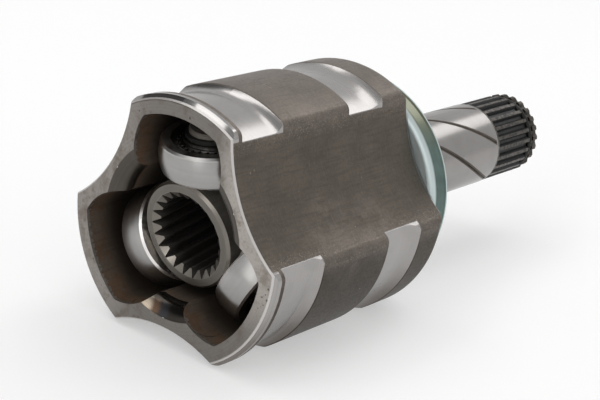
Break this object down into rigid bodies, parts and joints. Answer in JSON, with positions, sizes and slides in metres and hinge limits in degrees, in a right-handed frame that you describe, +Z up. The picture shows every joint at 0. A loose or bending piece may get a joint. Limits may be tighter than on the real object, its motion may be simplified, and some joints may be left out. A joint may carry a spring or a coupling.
{
  "type": "tripod constant velocity joint",
  "caption": "Plunging inner joint of a drive shaft: three lobed housing forged with a splined stub shaft, round a roller tripod with a splined hub.",
  "frame": {"origin": "joint centre at rest, where the three trunnion axes meet on the housing's axis", "axes": "+X along the housing's axis from the open mouth to the stub shaft, +Z up through the top lobe, with the housing lying on its two lower lobes"},
  "size_m": [0.1714, 0.0778, 0.0732],
  "materials": {
    "housing_steel": "dark raw forging with ground and turned bright faces",
    "zinc_sheet": "zinc plated sheet with a blue green tint",
    "spring_steel": "black spring steel",
    "spider_steel": "grey forging with ground faces",
    "roller_steel": "satin ground bearing steel",
    "needle_steel": "ground bearing steel",
    "washer_steel": "pressed steel"
  },
  "bodies": {
    "housing": {"housing": "housing_steel", "dust_shield": "zinc_sheet", "stub_circlip": "spring_steel"},
    "plunge_carriage": {"inner_washer_1": "washer_steel"},
    "tripod": {"spider": "spider_steel", "inner_washer_2": "washer_steel", "inner_washer_3": "washer_steel", "outer_washer_1": "washer_steel", "outer_washer_2": "washer_steel", "outer_washer_3": "washer_steel", "trunnion_circlip_1": "spring_steel", "trunnion_circlip_2": "spring_steel", "trunnion_circlip_3": "spring_steel"},
    "roller_1": {"roller_1": "roller_steel"},
    "needles_1": {"needles_1": "needle_steel"},
    "roller_2": {"roller_2": "roller_steel"},
    "needles_2": {"needles_2": "needle_steel"},
    "roller_3": {"roller_3": "roller_steel"},
    "needles_3": {"needles_3": "needle_steel"}
  },
  "joints": [
    {"name": "plunge", "type": "slide", "parent": "housing", "child": "plunge_carriage", "axis": [1, 0, 0], "range_m": [-0.003, 0.024]},
    {"name": "swing", "type": "hinge", "parent": "plunge_carriage", "child": "tripod", "pos_m": [0, 0, 0], "axis": [-0.0872, 0, 0.9962], "range_deg": [-15, 15]},
    {"name": "roller_1_spin", "type": "hinge", "parent": "tripod", "child": "roller_1", "pos_m": [-0.0037, 0, 0.02098], "axis": [-0.1736, 0, 0.9848], "continuous": true},
    {"name": "needles_1_orbit", "type": "hinge", "parent": "tripod", "child": "needles_1", "pos_m": [-0.0037, 0, 0.02098], "axis": [-0.1736, 0, 0.9848], "continuous": true},
    {"name": "roller_2_spin", "type": "hinge", "parent": "tripod", "child": "roller_2", "pos_m": [0.00185, -0.01845, -0.01049], "axis": [0.0868, -0.866, -0.4924], "continuous": true},
    {"name": "needles_2_orbit", "type": "hinge", "parent": "tripod", "child": "needles_2", "pos_m": [0.00185, -0.01845, -0.01049], "axis": [0.0868, -0.866, -0.4924], "continuous": true},
    {"name": "roller_3_spin", "type": "hinge", "parent": "tripod", "child": "roller_3", "pos_m": [0.00185, 0.01845, -0.01049], "axis": [0.0868, 0.866, -0.4924], "continuous": true},
    {"name": "needles_3_orbit", "type": "hinge", "parent": "tripod", "child": "needles_3", "pos_m": [0.00185, 0.01845, -0.01049], "axis": [0.0868, 0.866, -0.4924], "continuous": true}
  ],
  "couplings": [
    {"joint": "needles_1_orbit", "follows": "roller_1_spin", "ratio": 0.55472},
    {"joint": "needles_2_orbit", "follows": "roller_2_spin", "ratio": 0.55472},
    {"joint": "needles_3_orbit", "follows": "roller_3_spin", "ratio": 0.55472}
  ]
}
